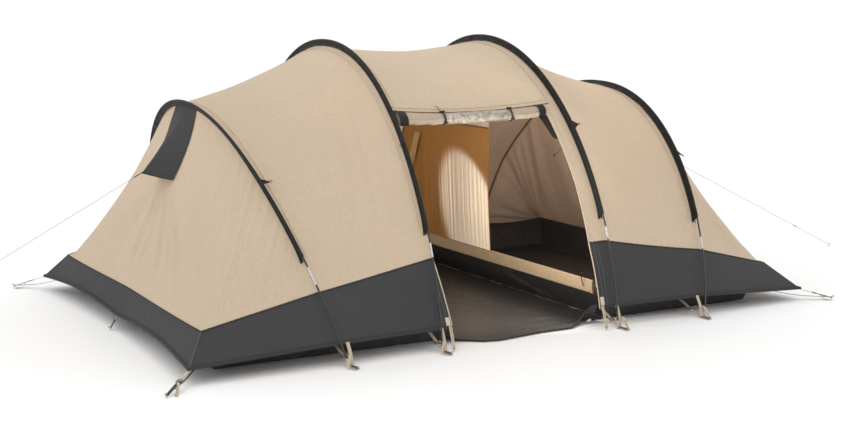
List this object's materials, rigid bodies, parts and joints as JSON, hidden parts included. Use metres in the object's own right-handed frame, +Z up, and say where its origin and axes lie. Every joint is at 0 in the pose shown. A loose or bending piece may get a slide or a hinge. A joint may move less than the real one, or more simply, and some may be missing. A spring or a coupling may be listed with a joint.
{
  "type": "tunnel tent",
  "caption": "Tunnel tent on outside arched poles with sloping ends, an open side door, a dark mudwall and groundsheet, and a sleeping cabin inside.",
  "frame": {"origin": "on the ground, in the middle of the tent's box", "axes": "+X along the tunnel towards the sleeping cabin, -Y out of the side door, +Z up"},
  "size_m": [8.4976, 3.9186, 2.0105],
  "materials": {
    "sand_cloth": "matt woven polycotton",
    "mudwall_cloth": "matt coated cloth",
    "sleeve_cloth": "matt woven cloth",
    "groundsheet_cloth": "slightly shiny coated cloth",
    "cabin_cloth": "thin matt cloth",
    "ochre_cloth": "thin matt cloth",
    "pole": "satin",
    "webbing": "matt woven webbing",
    "clear_film": "soft clear window film"
  },
  "bodies": {
    "root": {"cabin_canopy": "cabin_cloth", "cabin_end_wall": "cabin_cloth", "cabin_front_wall": "ochre_cloth", "cabin_groundsheet": "groundsheet_cloth", "cabin_threshold": "webbing", "corner_strap_left_back": "webbing", "corner_strap_left_front": "webbing", "corner_strap_right_back": "webbing", "corner_strap_right_front": "webbing", "door_roll": "sand_cloth", "door_strap_left": "webbing", "door_strap_right": "webbing", "end_strap_left": "webbing", "end_strap_right": "webbing", "fly_left_bay": "sand_cloth", "fly_left_end": "sand_cloth", "fly_middle_bay": "sand_cloth", "fly_right_bay": "sand_cloth", "fly_right_end": "sand_cloth", "foot_strap_1_back": "webbing", "foot_strap_1_front": "webbing", "foot_strap_2_back": "webbing", "foot_strap_2_front": "webbing", "foot_strap_3_back": "webbing", "foot_strap_3_front": "webbing", "foot_strap_4_back": "webbing", "foot_strap_4_front": "webbing", "groundsheet": "groundsheet_cloth", "guy_line_left": "webbing", "guy_line_right": "webbing", "mudwall_back": "mudwall_cloth", "mudwall_front_left": "mudwall_cloth", "mudwall_front_right": "mudwall_cloth", "mudwall_left_end": "mudwall_cloth", "mudwall_right_end": "mudwall_cloth", "pole_1": "pole", "pole_2": "pole", "pole_3": "pole", "pole_4": "pole", "roll_toggle_left": "sleeve_cloth", "roll_toggle_right": "sleeve_cloth", "sleeve_1": "sleeve_cloth", "sleeve_2": "sleeve_cloth", "sleeve_3": "sleeve_cloth", "sleeve_4": "sleeve_cloth", "vent_hood_left": "mudwall_cloth", "vent_hood_right": "mudwall_cloth", "window_roll": "clear_film"}
  },
  "joints": []
}
